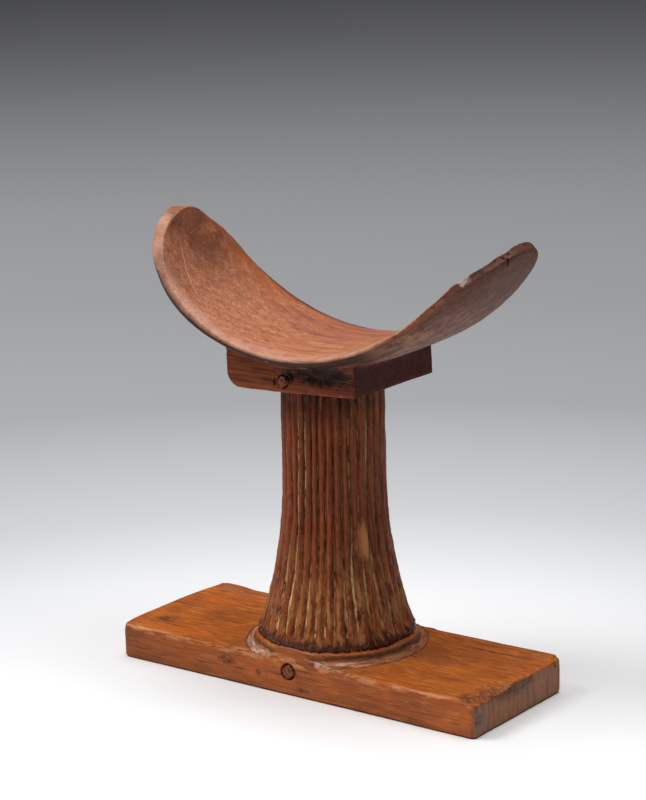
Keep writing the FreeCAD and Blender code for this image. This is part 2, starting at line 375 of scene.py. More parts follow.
def seat_cove(add, colour, place, reach, above):
    """The cove round the seat: grime with pale specks in it, painted highlights on lines that go round
    at the front, dark lines between them, painted shade along both edges of the cove, and painted
    shade in the gap under the shaft. Also returns the cove's share and its specks."""
    x, y, _ = add("SeparateXYZ", None, place).node.outputs
    wobble = add("TexNoise", None, place, Scale=1 / (8 * MM), Detail=3.0)
    ring_r = add("Math", {"operation": "MULTIPLY_ADD"}, wobble, 1.4 * MM, reach)
    inner = add("MapRange", EASE, ring_r, (RIM_R + 0.5) * MM, (RIM_R + 1.1) * MM, 0.0, 1.0)
    outer = add("MapRange", EASE, ring_r, (COVE_R + 0.2) * MM, (COVE_R + 0.9) * MM, 1.0, 0.0)
    cove = add("Math", TIMES, add("Math", TIMES, inner, outer), above)
    round_place = add(
        "CombineXYZ", None, reach, add("Math", TIMES, x, 0.12), add("Math", TIMES, y, 0.12),
    )

    grime = add("Mix", LAY, patches(add, round_place, 2.4, (0.36, 0.6), 5.0), "#75432e", "#c08e72")
    specks = patches(add, round_place, 0.9, (0.55, 0.66), 5.0)
    grime = add("Mix", LAY, add("Math", TIMES, specks, 0.6), grime, "#c9a68f")
    grimy = add("Math", TIMES, cove, add("MapRange", None, x, 0.0, 30 * MM, 0.7, 0.3))
    colour = add("Mix", LAY, grimy, colour, grime)

    # Painted highlights: pale lines that go round the cove, on its front side only
    ring_lines = patches(add, round_place, 1.1, (0.5, 0.6), 2.0)
    front_side = add("MapRange", EASE, y, -18 * MM, -34 * MM, 0.15, 0.75)
    front_highlight = add("Math", TIMES, add("Math", TIMES, ring_lines, front_side), cove)
    colour = add("Mix", LAY, front_highlight, colour, "#dfb9a4")
    between = add("Math", MINUS, 1.0, ring_lines)
    dark = add("Math", TIMES, between, patches(add, round_place, 1.8, (0.5, 0.62)))
    dark = add("Math", TIMES, dark, cove)
    colour = add("Mix", LAY, add("Math", TIMES, dark, 0.6), colour, "#3f1d13")

    # Painted shade: dark lines along the inner and outer edges of the cove
    across_cove = add("MapRange", None, ring_r, RIM_R * MM, (COVE_R + 2.5) * MM)
    cove_edge_shade = add("ValToRGB", None, across_cove, stops=(
        (0.0, 0.0), (0.1, 1.0), (0.24, 0.0), (0.62, 0.0), (0.72, 1.0), (0.86, 0.0),
    ))
    cove_edge_shade = add("Math", TIMES, add("Math", TIMES, cove_edge_shade, above), 0.7)
    colour = add("Mix", LAY, cove_edge_shade, colour, "#2b140d")
    # Painted shade in the gap under the shaft: the seat top is darkened next to the shaft's foot
    gap = add("MapRange", EASE, reach, (SHAFT_FOOT_R + 0.2) * MM, (SHAFT_FOOT_R - 0.8) * MM, 0.0, 1.0)
    colour = add("Mix", LAY, add("Math", TIMES, gap, above), colour, "#1c0b07")
    return colour, cove, specks


def foot_dirt(add, colour, place):
    """Dirt packed into the chips and hollows, with pale splinters standing out of it."""
    dirt = mark(add, place, (-38, PLANK_LOW.y, 10.5), (13, 6, 6))
    for middle, size in (
        ((-19, PLANK_LOW.y, 8), (4, 4, 4)), ((6, PLANK_LOW.y, 4), (5, 4, 3)),
        ((PLANK_HIGH.x, -33, 8), (5, 8, 8)), ((98, -20, PLANK_TOP), (17, 40, 8)),
        ((98, 21, PLANK_TOP + 1), (16, 3, 4)), ((70, 26, PLANK_TOP), (60, 2.4, 3)),
        ((-88, -20, PLANK_TOP), (14, 10, 4)), ((96, -30, PLANK_TOP), (18, 18, 6)),
        ((101, -4, PLANK_TOP - 3), (6, 40, 10)),
    ):
        dirt = add("Math", LARGER, dirt, mark(add, place, middle, size))
    dirt = add("Math", TIMES, dirt, patches(add, place, 2.2, (0.32, 0.54), 5.0))
    colour = add("Mix", LAY, add("Math", TIMES, dirt, 0.8), colour, "#34170d")
    splinters = add("Math", TIMES, dirt, patches(add, place, 1.0, (0.54, 0.62), 4.0))
    return add("Mix", LAY, add("Math", TIMES, splinters, 0.35), colour, "#c08c58")


def peg_hole(add, colour, place):
    """Painted shade in the gap round the end of the peg."""
    y = add("SeparateXYZ", None, place, out=1)
    away = add("VectorMath", MINUS, place, BASE_PEG * MM)
    peg_r = add("VectorMath", LENGTH, add("VectorMath", TIMES, away, (1, 0, 1)))
    gap_shade = add("MapRange", EASE, peg_r, (BASE_PEG_R + 0.7) * MM, (BASE_PEG_R + 0.25) * MM, 0.0, 1.0)
    at_front = add("MapRange", None, y, (PLANK_LOW.y + 4) * MM, (PLANK_LOW.y + 2) * MM, 0.0, 1.0)
    return add("Mix", LAY, add("Math", TIMES, gap_shade, at_front), colour, "#2a100a")


def worn_and_highlit_edges(add, colour, place, long, above):
    """The front and right top edges, rubbed back to pale wood and given a painted highlight, and dark
    inner corners.
    """
    x = add("SeparateXYZ", None, place)
    from_arris = add("VectorMath", MINUS, place, (0, PLANK_LOW.y * MM, PLANK_TOP * MM))
    arris_gap = add("VectorMath", LENGTH, add("VectorMath", TIMES, from_arris, (0, 1, 1)))
    edge_band = add("MapRange", EASE, arris_gap, 3.6 * MM, 1.8 * MM, 0.0, 1.0)
    end_arris = add("Math", TIMES, add("MapRange", EASE, x, 98 * MM, 101 * MM, 0.0, 1.0), above)
    edge_band = add("Math", LARGER, edge_band, add("Math", TIMES, end_arris, 0.7))
    # Partly wear, partly painted highlight: pale wood along the rounded top edges
    worn = add("Math", TIMES, edge_band, patches(add, long, 3, (0.45, 0.58), 5.0, 0.65))
    colour = add("Mix", LAY, add("Math", TIMES, worn, 0.6), colour, "#dc9c6c")
    hollows = arris(add, 0.49, 0.44)
    return add("Mix", LAY, add("Math", TIMES, hollows, 0.7), colour, "#351709")


def foot_wood(add):
    """Hand-rubbed hardwood heart: warm orange-brown, straight fine grain, darker in patches, with
    grime, painted highlights and painted shade in the cove round the seat, and grime on the end grain."""
    place, along, fibres, pores = grain(add, (0.05, 1, 1))
    rings = growth_rings(add, along, (0, -150, 20), 2.6)
    long = add("VectorMath", TIMES, place, (0.3, 1, 1))
    reach = add("VectorMath", LENGTH, add("VectorMath", TIMES, place, (1, 1, 0)))
    z = add("SeparateXYZ", None, place, out=2)
    above = add("MapRange", None, z, (PLANK_TOP - 0.6) * MM, (PLANK_TOP + 0.3) * MM, 0.0, 1.0)

    colour = foot_faces(add, place, along, long, rings, fibres)
    colour, cove, specks = seat_cove(add, colour, place, reach, above)
    colour = foot_dirt(add, colour, place)
    colour = add("Mix", LAY, add("Math", TIMES, pores, 0.55), colour, "#4a200e")
    colour = peg_hole(add, colour, place)
    colour = worn_and_highlit_edges(add, colour, place, long, above)

    height = add("Math", MINUS, fibres, add("Math", TIMES, pores, 0.8))
    height = add("Math", PLUS, height, add("Math", TIMES, add("Math", TIMES, cove, specks), 1.5))
    roughness = add("ValToRGB", None, fibres, stops=((0.2, 0.4), (0.8, 0.56)))
    roughness = add("Mix", LAY, cove, roughness, [0.7, 0.7, 0.7, 1])
    return colour, roughness, height, 0.25


foot.data.materials.append(finish("rubbed_hardwood_foot", foot_wood, 0.32))
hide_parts("base_plank")
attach(foot, "root")

# ---------------------------------------------------------------------------------------------
# Column
# One length of red-brown heartwood, shaped round and then fluted by eye with a gouge. It was once
# coated: a cream ground is left in the flutes, and their crests are rubbed back to the wood.
# ---------------------------------------------------------------------------------------------

# The waist is measured over the crests of the flutes, and all heights are above the floor
WAIST_R = 23.8
FOOT_SPREAD = 12.5
FLARE_TOP = 100
FLARE_HEIGHT = 76
SHAFT_LOW = 24.0
SHAFT_HIGH = 142.6
TOP_SLOPE = math.tan(math.radians(2.4))
LOWER_TENON_R, LOWER_TENON_END = 13.0, 5.0
UPPER_TENON_R, UPPER_TENON_END = 10.0, 154.6
FLUTES = 36
POINTS_IN_FLUTE = 12
RINGS = 205
FLUTE_DEPTH = 1.75
# The flutes were set out by eye, and crowd together in three places round the shaft
FLUTE_START = 0.24
CROWDED_PLACES = 3
CROWDED_AT = math.radians(-68)
CROWDING = 0.2


def crest_radius(z):
    """The radius over the crests of the flutes at a height."""
    fall = max(0.0, (FLARE_TOP - z) / FLARE_HEIGHT)
    return WAIST_R + FOOT_SPREAD * fall ** 2


def drift(number, z, slow):
    """How far a gouge strayed along one flute, from about -0.5 to 0.5."""
    return noise.noise(Vector((number * 7.3, z / slow, 0)))


def fluted(point):
    """Where a point of a plain round tube goes when the flutes have been cut in it."""
    turn = math.atan2(point.y, point.x)
    place = turn * FLUTES / (2 * math.pi) - FLUTE_START
    number = math.floor(place) % FLUTES
    across = (place - math.floor(place)) ** (1 + 0.7 * drift(number, point.z, 24))
    hollow = abs(math.sin(math.pi * across)) ** 1.9
    start = SHAFT_LOW + 0.3 + 2.5 * abs(drift(number + 50, 0, 1))
    run_out = min(1.0, max(0.0, (point.z - start) / 4))
    depth = FLUTE_DEPTH * (1 + 0.5 * drift(number + 100, point.z, 30)) * math.sqrt(run_out)
    rubbed = 0.5 * abs(drift(round(place) % FLUTES + 200, point.z, 16)) * (1 - hollow)
    chamfer = 0.3 * max(0.0, 1 - (point.z - SHAFT_LOW) / 1.5)
    radius = crest_radius(point.z) - depth * hollow - rubbed - chamfer
    swing = CROWDING / CROWDED_PLACES * math.sin(CROWDED_PLACES * (turn - CROWDED_AT))
    x, y = radius * math.cos(turn - swing), radius * math.sin(turn - swing)
    up = (point.z - SHAFT_LOW) / (SHAFT_HIGH - SHAFT_LOW)
    return Vector((x, y, point.z + up * TOP_SLOPE * x))


def tenon(piece, edge_z, radius, end_z):
    """Closes one end of the tube, and draws a round tenon out of it."""
    pick(piece)
    for vertex in piece.data.vertices:
        vertex.select = abs(vertex.co.z - edge_z * MM) < 0.001 * MM
    across = [v.co.xy.length for v in piece.data.vertices if v.select]
    scale = radius * MM / (sum(across) / len(across))
    bpy.ops.object.mode_set(mode="EDIT")
    bpy.ops.mesh.extrude_edges_move()
    bpy.ops.transform.resize(value=(scale, scale, 1), center_override=(0, 0, edge_z * MM))
    bpy.ops.mesh.extrude_edges_move(TRANSFORM_OT_translate={"value": (0, 0, (end_z - edge_z) * MM)})
    bpy.ops.mesh.edge_face_add()
    bpy.ops.mesh.normals_make_consistent(inside=False)
    bpy.ops.object.mode_set(mode="OBJECT")


def shaft_end(point):
    """The ragged foot of the shaft, where the flutes run out."""
    on_side = 1.0 if math.hypot(point.x, point.y) > 30 else 0.0
    return on_side * max(0.0, 1 - (point.z - SHAFT_LOW) / 6)


bpy.ops.object.select_all(action="DESELECT")
bpy.ops.mesh.primitive_circle_add(vertices=FLUTES * POINTS_IN_FLUTE, radius=WAIST_R * MM)
shaft = bpy.context.object
shaft.name = shaft.data.name = "column_shaft"
for vertex in shaft.data.vertices:
    vertex.co.z = SHAFT_LOW * MM
work(
    shaft, "SCREW", angle=0, screw_offset=(SHAFT_HIGH - SHAFT_LOW) * MM, steps=RINGS,
    render_steps=RINGS, use_smooth_shade=True,
)
tenon(shaft, SHAFT_LOW, LOWER_TENON_R, LOWER_TENON_END)
tenon(shaft, SHAFT_HIGH, UPPER_TENON_R, UPPER_TENON_END)
for vertex in shaft.data.vertices:
    if vertex.co.xy.length > (WAIST_R - 1) * MM:
        vertex.co = fluted(vertex.co / MM) * MM
# A ragged foot, wavering crests, torn fibres along the grain, and small pits
carve(shaft, 2.4, 1.6, share=shaft_end, stretch=(1, 1, 1.6))
carve(shaft, 8, 0.4, stretch=(1, 1, 6))
carve(shaft, 1.2, 0.4, stretch=(1, 1, 8), detail=2)
carve(shaft, 0.9, 0.22, stretch=(1, 1, 2))
keep(shaft, "column")
thin(shaft)


def bare_shaft(add, stripe, fibres, crest, groove):
    """Wood of the shaft: red-brown, dark in the flutes, and paler on the crests, partly as rubbed wood
    and partly as a painted highlight.
    """
    colour = add("ValToRGB", None, fibres, stops=((0.3, "#561b0c"), (0.5, "#863416"), (0.7, "#a84e25")))
    # The paler crests are partly rubbed wood and partly a painted highlight
    for share, amount, tone in (
        (patches(add, stripe, 7, (0.4, 0.62)), 0.6, "#591b0e"),
        (crest, 0.35, "#b2602f"),
        (patches(add, stripe, 0.9, (0.46, 0.6), 3.0), 0.5, "#42180c"),
        (groove, 0.75, "#2c0f08"),
    ):
        colour = add("Mix", LAY, add("Math", TIMES, share, amount), colour, tone)
    return colour


def old_ground(add, colour, place, stripe, dash, depth, groove, low):
    """What is left of the coat: a golden veil towards the foot and the right side, golden flecks
    in the flutes there, and broken cream lines at the bottom of some flutes. Also returns where
    it lies thick."""
    x = add("SeparateXYZ", None, place)
    bottom = add("MapRange", EASE, depth, 1.15 * MM, 1.4 * MM, 0.0, 1.0)
    right = add("MapRange", EASE, x, 4 * MM, 20 * MM, 0.0, 0.5)
    amount = add("Math", LARGER, low, right)
    cloudy = patches(add, dash, 2.4, (0.42, 0.62), 6.0, 0.65)
    veil = add("Math", TIMES, add("Math", TIMES, amount, amount), cloudy)
    low_right = add("Math", TIMES, low, add("MapRange", None, x, 0.0, 24 * MM, 0.0, 1.0))
    veil_tone = add("Mix", LAY, low_right, "#b8743e", "#cf8f56")
    colour = add("Mix", LAY, add("Math", TIMES, veil, 0.6), colour, veil_tone)

    flecks = patches(add, dash, 1.5, (0.38, 0.56), 5.0)
    golden = add("Math", TIMES, add("Math", TIMES, groove, amount), flecks)
    colour = add("Mix", LAY, add("Math", TIMES, golden, 0.95), colour, "#e0ae74")

    front = mark(add, stripe, (3, -23, 3), (20, 24, 16), 0.1)
    chosen = add("Math", LARGER, front, patches(add, stripe, 3.4, (0.54, 0.64), 1.0))
    broken = patches(add, dash, 0.9, (0.4, 0.48), 4.0)
    cream = add("Math", TIMES, add("Math", TIMES, bottom, chosen), broken)
    colour = add("Mix", LAY, cream, colour, "#f8d498")
    return colour, add("Math", LARGER, cream, golden)


def shaft_wear(add, colour, place, stripe, dash, depth, low):
    """Painted shadow of the block over the top of the shaft, torn dark foot, pale crumbs, grime, and
    one patch on the right where the crests are rubbed through. Also returns the crumbs."""
    z = add("SeparateXYZ", None, place, out=2)
    # Painted shadow: the block darkens the top of the shaft
    top = add("MapRange", EASE, z, 122 * MM, 142 * MM, 0.0, 0.85)
    top = add("Math", TIMES, top, patches(add, stripe, 4, (0.35, 0.55)))
    colour = add("Mix", LAY, top, colour, "#240b06")
    torn = add("TexNoise", None, dash, Scale=1 / (2 * MM), Detail=4.0)
    ragged = add("Math", {"operation": "MULTIPLY_ADD"}, torn, -9 * MM, z)
    band = add("MapRange", EASE, ragged, 24.4 * MM, 21.6 * MM, 0.0, 1.0)
    colour = add("Mix", LAY, add("Math", TIMES, band, 0.85), colour, "#3c170d")
    crumbs = add("Math", TIMES, patches(add, dash, 0.7, (0.56, 0.64), 4.0), low)
    colour = add("Mix", LAY, add("Math", TIMES, crumbs, 0.45), colour, "#c79c68")
    grime = patches(add, dash, 0.8, (0.56, 0.66), 5.0)
    colour = add("Mix", LAY, add("Math", TIMES, grime, 0.5), colour, "#2a0f08")
    rubbed = mark(add, dash, (21.5, -9.5, 14.2), (6, 6, 4.4), 0.35)
    rubbed = add("Math", TIMES, rubbed, add("MapRange", EASE, depth, 1.4 * MM, 0.9 * MM, 0.2, 1.0))
    colour = add("Mix", LAY, add("Math", TIMES, rubbed, 0.9), colour, "#cf8c58")
    return colour, crumbs


def column_wood(add):
    """Old red-brown heartwood with a cream ground left in the flutes. How deep a point lies below
    the crests says whether it is on a crest or in a flute."""
    place, _, fibres, _ = grain(add, (1, 1, 0.06))
    z = add("SeparateXYZ", None, place, out=2)
    flat = add("VectorMath", TIMES, place, (1, 1, 0))
    reach = add("VectorMath", LENGTH, flat)
    outward = add("VectorMath", {"operation": "NORMALIZE"}, flat)
    turned = add("VectorMath", TIMES, outward, [WAIST_R * MM] * 3)
    stripe = add("VectorMath", {"operation": "MULTIPLY_ADD"}, place, (0, 0, 0.035), turned)
    dash = add("VectorMath", {"operation": "MULTIPLY_ADD"}, place, (0, 0, 0.2), turned)

    fall = add("MapRange", None, z, FLARE_TOP * MM, (FLARE_TOP - FLARE_HEIGHT) * MM, 0.0, 1.0)
    spread = add("Math", TIMES, add("Math", TIMES, fall, fall), FOOT_SPREAD * MM)
    crest_r = add("Math", PLUS, spread, WAIST_R * MM)
    depth = add("Math", MINUS, crest_r, reach)
    groove = add("MapRange", EASE, depth, 0.85 * MM, 1.2 * MM, 0.0, 1.0)
    crest = add("MapRange", EASE, depth, 0.8 * MM, 0.4 * MM, 0.0, 1.0)
    low = add("MapRange", EASE, z, 90 * MM, 40 * MM, 0.3, 1.0)

    colour = bare_shaft(add, stripe, fibres, crest, groove)
    colour, deposit = old_ground(add, colour, place, stripe, dash, depth, groove, low)
    colour, crumbs = shaft_wear(add, colour, place, stripe, dash, depth, low)
    roughness = add("MapRange", None, depth, 0.2 * MM, 1.5 * MM, 0.4, 0.8)
    height = add("Math", PLUS, add("Math", PLUS, fibres, deposit), crumbs)
    return colour, roughness, height, 0.25


shaft.data.materials.append(finish("fluted_heartwood", column_wood, 0.22))
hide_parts("column")
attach(shaft, "root")

# ---------------------------------------------------------------------------------------------
# Neck rest
# The curved cradle and the block below it are one piece of reddish-brown wood. The hollow is
# polished by use, and the outside of the wings has darkened under a grey bloom.
# ---------------------------------------------------------------------------------------------

REST_SKIN = 0.56
BLOCK_FRONT = -31.3
# About the middle of the curve that the hollow follows from wing to wing
CURVE_X, CURVE_Z = 5, 280


def under_lip(point):
    """The hollowed front of the block, right of the peg, below the lip of the cradle."""
    if point.y > BLOCK_FRONT + 4:
        return 0.0
    along = max(0.0, 1 - ((point.x - 14) / 19) ** 2)
    up = max(0.0, 1 - ((point.z - 151.5 - 0.05 * point.x) / 5.5) ** 2)
    return along * up


def front_lip(point):
    """The front edge of the cradle over the block and the left wing."""
    return 1.0 if point.y < -28.5 and point.x < 70 and point.z > 157 else 0.0


def wing_rim(point):
    """The rubbed and chipped rim of the right wing."""
    if point.x < 60:
        return 0.0
    front = max(0.0, 1 - (point.z - 176 - 0.9 * (point.x - 60)) ** 2 / 14)
    return front if point.y < -6 else 0.0


rest = blank("neck_rest", "cradle_and_block", REST_SKIN)
# Broad unevenness of the carving, and fine tool marks along the grain
carve(rest, 26, 0.6, stretch=(1.6, 1, 1))
carve(rest, 6, 0.25, stretch=(2, 1, 1), detail=2)
# The wings are out of true: the right front edge stands fuller, with a bump on it, and the left
# tip leans out, with a dip and a swelling in its back edge
shift(rest, near((80, -30, 196), (56, 34, 44)), "Z", 1.5)
shift(rest, near((-88, -8, 204), (30, 60, 44)), "X", -1.2)
shift(rest, near((-82, 17, 210), (16, 22, 16)), "Z", -1.3)
shift(rest, near((-72, 25, 197), (16, 20, 14)), "Z", 0.9)
shift(rest, near((84, -27, 202), (8, 14, 8)), "Z", 0.9)
# The front lip rubbed round, the rough hollow under it, and the rubbed rim of the right wing
rub(rest, front_lip, 40)
carve(rest, 6, 2.6, share=under_lip)
carve(rest, 5, 1.0, share=wing_rim, detail=2)
# Breaks on both sides of the peg, the chipped and split right tip and rim, the notch under the
# left tip, and a chip in the right front corner of the block
gouge(rest, [
    ((-1.2, -31.6, 150.6), (5, 5, 5), 20, (0, 0, 0)), ((-9.4, -31.6, 147.4), (2.6, 3, 5), 21, (0, 0, 0)),
    ((100.6, -12.4, 213.6), (6, 8, 5), 22, (0, 30, 0)), ((97, -17.8, 212.2), (5, 2.4, 1.4), 23, (0, 20, 0)),
    ((102, -11.6, 210.6), (5, 1.3, 7), 24, (20, 20, 0)), ((88, -26.4, 206), (5, 1.4, 1.2), 25, (0, 25, 0)),
    ((-84.4, -27.5, 193.5), (3.4, 4, 4.4), 26, (0, 0, 0)),
    ((34.6, -31.4, 146.4), (2.4, 2.4, 8), 28, (0, 0, 0)),
])
keep(rest, "neck_rest")
thin(rest)


def curved_figure(add, place):
    """Figure that follows the curve of the cradle: fine dark lines, light lines and smears."""
    x, y, z = add("SeparateXYZ", None, place).node.outputs
    from_x = add("Math", MINUS, x, CURVE_X * MM)
    from_z = add("Math", MINUS, CURVE_Z * MM, z)
    bow = add("Math", {"operation": "ARCTAN2"}, from_x, from_z)
    curved = add("CombineXYZ", None, add("Math", TIMES, bow, 14 * MM), y, z)
    drawn = patches(add, curved, 1.3, (0.48, 0.66), 4.0, 0.62)
    lit = patches(add, curved, 2.2, (0.55, 0.7), 4.0, 0.6)
    smears = patches(add, curved, 5, (0.46, 0.7), 6.0, 0.62)
    return drawn, lit, smears


def hollow_grain(add, place, long, fibres, ring_tone, inner, figure, shadows):
    """Wood of the hollow: streaks and drawn lines, darker and bloomed towards the tips, with one
    dark knot in the left wing."""
    z = add("SeparateXYZ", None, place, out=2)
    drawn, lit, smears = figure
    colour = add("ValToRGB", None, fibres, stops=((0.3, "#985638"), (0.5, "#b46f4e"), (0.7, "#c88b64")))
    colour = add("Mix", STAIN, add("Math", TIMES, inner, 0.42), colour, ring_tone)
    high = add("MapRange", EASE, z, 172 * MM, 200 * MM, 0.0, 0.85)
    knot = add("Math", TIMES, mark(add, place, (-76, 1, 199), (26, 36, 22), 0.7), shadows)
    darker_tips_and_knot = add("Math", LARGER, add("Math", TIMES, high, shadows), add("Math", TIMES, knot, 0.8))
    bloom = add("Math", TIMES, high, patches(add, place, 9, (0.48, 0.66), 5.0))
    for share, amount, tone in (
        (patches(add, long, 2.6, (0.46, 0.7), 3.0), 0.28, "#7a3a22"),
        (drawn, 0.4, "#84492f"),
        (lit, 0.3, "#dba27c"),
        (darker_tips_and_knot, 0.75, "#5a2f20"),
        (bloom, 0.35, "#8a6c5c"),
        (smears, 0.55, "#7c4630"),
    ):
        colour = add("Mix", LAY, add("Math", TIMES, share, amount), colour, tone)
    return colour


def hollow_stains(add, colour, place, long, smears):
    """Stains of the hollow: an orange back half, a dark back edge, a wine-red patch in the middle
    and one pale scratch across the left wing."""
    _, y, z = add("SeparateXYZ", None, place).node.outputs
    rear = add("MapRange", EASE, y, 8 * MM, 26 * MM, 0.0, 0.7)
    rear = add("Math", TIMES, rear, add("MapRange", EASE, z, 163 * MM, 174 * MM, 0.25, 1.0))
    rear = add("Math", TIMES, rear, patches(add, long, 5, (0.35, 0.6)))
    colour = add("Mix", LAY, rear, colour, "#a2501c")
    back_edge = add("MapRange", EASE, y, 30 * MM, 35.5 * MM, 0.0, 0.75)
    colour = add("Mix", LAY, back_edge, colour, "#3a1a0f")
    wine = add("MapRange", None, smears, 0.0, 1.0, 0.3, 0.9)
    wine = add("Math", TIMES, mark(add, place, (-12, 18, 162), (90, 40, 26), 0.5), wine)
    colour = add("Mix", LAY, add("Math", TIMES, wine, 0.9), colour, "#874a40")
    # The scratch is where one slanting plane meets the skin of the cradle
    drop = add("Math", {"operation": "MULTIPLY_ADD"}, z, -0.52, y)
    scratch = add("Math", {"operation": "ABSOLUTE"}, add("Math", PLUS, drop, 115.9 * MM))
    scratch = add("MapRange", EASE, scratch, 0.5 * MM, 0.15 * MM, 0.0, 1.0)
    scratch = add("Math", TIMES, scratch, mark(add, place, (-70, -16, 191), (34, 40, 30), 0.2))
    return add("Mix", LAY, add("Math", TIMES, scratch, 0.5), colour, "#d3a688")


def dull_outside(add, place, long, fibres, ring_tone, figure):
    """Outside of the wings: darker wood under a grey haze, warmer low down."""
    z = add("SeparateXYZ", None, place, out=2)
    drawn, lit, smears = figure
    outside = add("ValToRGB", None, fibres, stops=((0.3, "#4d2a1f"), (0.5, "#6b3f30"), (0.7, "#825340")))
    outside = add("Mix", STAIN, 0.45, outside, ring_tone)
    haze = add("Math", TIMES, patches(add, long, 6, (0.45, 0.7), 5.0), 0.28)
    outside = add("Mix", LAY, haze, outside, "#7a6a60")
    outside = add("Mix", LAY, add("Math", TIMES, drawn, 0.5), outside, "#4a2a20")
    warm = add("MapRange", EASE, z, 196 * MM, 172 * MM, 0.1, 0.75)
    warm_lines = add("Math", TIMES, add("Math", TIMES, warm, lit), 0.8)
    outside = add("Mix", LAY, warm_lines, outside, "#a97a60")
    warm_smears = add("Math", TIMES, warm, patches(add, long, 4, (0.42, 0.66), 6.0))
    return add("Mix", LAY, warm_smears, outside, "#a0735a")


def rim_sheen_and_shade(add, colour, place, side, inner, inward):
    """Edges of the cradle: a painted highlight on the flat of the left tip, a painted sheen on the front
    lip and rim, the right rim darkened as painted shade with grey rubbed patches, painted shade on
    the underside of the lip, and a pale residue by the chip in the right rim."""
    x, y, _ = add("SeparateXYZ", None, place).node.outputs
    # Painted highlight: the flat of the left tip made pale
    tip = mark(add, place, (-88, -14, 200), (22, 48, 40), 0.1)
    facet = add("Math", TIMES, tip, add("MapRange", EASE, inner, 0.6, 0.2, 0.0, 1.0))
    colour = add("Mix", LAY, add("Math", TIMES, facet, 0.8), colour, "#c4937a")

    # Painted sheen on the front lip and on the front face of the rim
    facing_y = add("SeparateXYZ", None, side, out=1)
    rim = add("MapRange", EASE, facing_y, -0.45, -0.75, 0.0, 1.0)
    lip = add("MapRange", EASE, y, -25 * MM, -34 * MM, 0.0, 1.0)
    lip = add("Math", LARGER, add("Math", TIMES, lip, inner), rim)
    lip = add("Math", TIMES, lip, add("MapRange", EASE, x, 70 * MM, 30 * MM, 0.25, 1.0))
    sheen = add("Mix", LAY, patches(add, place, 7, (0.4, 0.68), 5.0), "#bd8a73", "#a66c52")
    colour = add("Mix", LAY, add("Math", TIMES, lip, 0.75), colour, sheen)

    # Painted shade: the right rim is darkened like the outside of the wing, more at the tip, with grey
    # rubbed patches
    edge_on = add("Math", {"operation": "ABSOLUTE"}, inward)
    edge_on = add("MapRange", EASE, edge_on, 0.75, 0.5, 0.0, 1.0)
    right_rim = add("Math", TIMES, edge_on, add("MapRange", EASE, x, 45 * MM, 70 * MM, 0.0, 0.95))
    to_tip = add("MapRange", EASE, x, 78 * MM, 92 * MM, 0.0, 1.0)
    rubbed = add("Mix", LAY, to_tip, "#804a34", "#5a2f20")
    rubbed = add("Mix", STAIN, patches(add, place, 5, (0.45, 0.65), 4.0), rubbed, "#9a8c82")
    colour = add("Mix", LAY, right_rim, colour, rubbed)

    # Painted shade on the underside of the front lip
    under = add("MapRange", EASE, inward, -0.1, -0.4, 0.0, 0.92)
    under = add("Math", TIMES, under, add("MapRange", None, y, -25 * MM, -28 * MM, 0.0, 1.0))
    under = add("Math", TIMES, under, add("MapRange", None, x, 60 * MM, 40 * MM, 0.0, 1.0))
    colour = add("Mix", LAY, under, colour, "#34180f")
    residue = mark(add, place, (89, -27, 203), (9, 8, 6), 0.4)
    return add("Mix", LAY, add("Math", TIMES, residue, 0.6), colour, "#cbb8ae")


def block_faces(add, colour, place, long, fibres, side, inner):
    """The block below the cradle: deep red-brown, a nearly black end, a painted highlight along the
    lower edge, and under the lip a black deposit with dust in it that is partly a painted shadow of
    the lip. Also returns the mask of that deposit and shadow."""
    _, y, z = add("SeparateXYZ", None, place).node.outputs
    in_block = add("MapRange", None, y, -32.4 * MM, -31.9 * MM, 0.0, 1.0)
    low = add("MapRange", None, z, 162 * MM, 159 * MM, 0.0, 1.0)
    block = add("Math", TIMES, in_block, add("Math", TIMES, low, add("Math", MINUS, 1.0, inner)))
    wood = add("ValToRGB", None, fibres, stops=((0.3, "#4c190a"), (0.5, "#7c3417"), (0.7, "#9a4f24")))
    end = add("MapRange", EASE, add("SeparateXYZ", None, side, out=0), 0.5, 0.9, 0.0, 1.0)
    end_tone = add("Mix", LAY, patches(add, place, 6, (0.4, 0.66), 6.0, 0.65), "#42120b", "#2e0906")
    wood = add("Mix", LAY, add("Math", TIMES, end, 0.85), wood, end_tone)
    # Painted highlight along the lower edge of the block
    lower_edge_highlight = add("MapRange", EASE, z, 147 * MM, 143 * MM, 0.0, 0.6)
    wood = add("Mix", LAY, add("Math", TIMES, lower_edge_highlight, patches(add, long, 4)), wood, "#9a4e26")
    # Partly a black deposit, partly a painted shadow that the lip casts on the block
    crust_and_lip_shadow = mark(add, place, (16, BLOCK_FRONT, 153), (50, 12, 13), 0.4)
    crust_and_lip_shadow = add("Math", LARGER, crust_and_lip_shadow, mark(add, place, (-2, BLOCK_FRONT, 150), (9, 12, 9)))
    wood = add("Mix", LAY, add("Math", TIMES, crust_and_lip_shadow, 0.92), wood, "#1c0c08")
    dust = add("MapRange", None, crust_and_lip_shadow, 0.0, 1.0, 0.2, 0.5)
    dust = add("Math", TIMES, patches(add, long, 1.0, (0.58, 0.66), 5.0), dust)
    wood = add("Mix", LAY, dust, wood, "#a5794e")
    return add("Mix", LAY, block, colour, wood), crust_and_lip_shadow


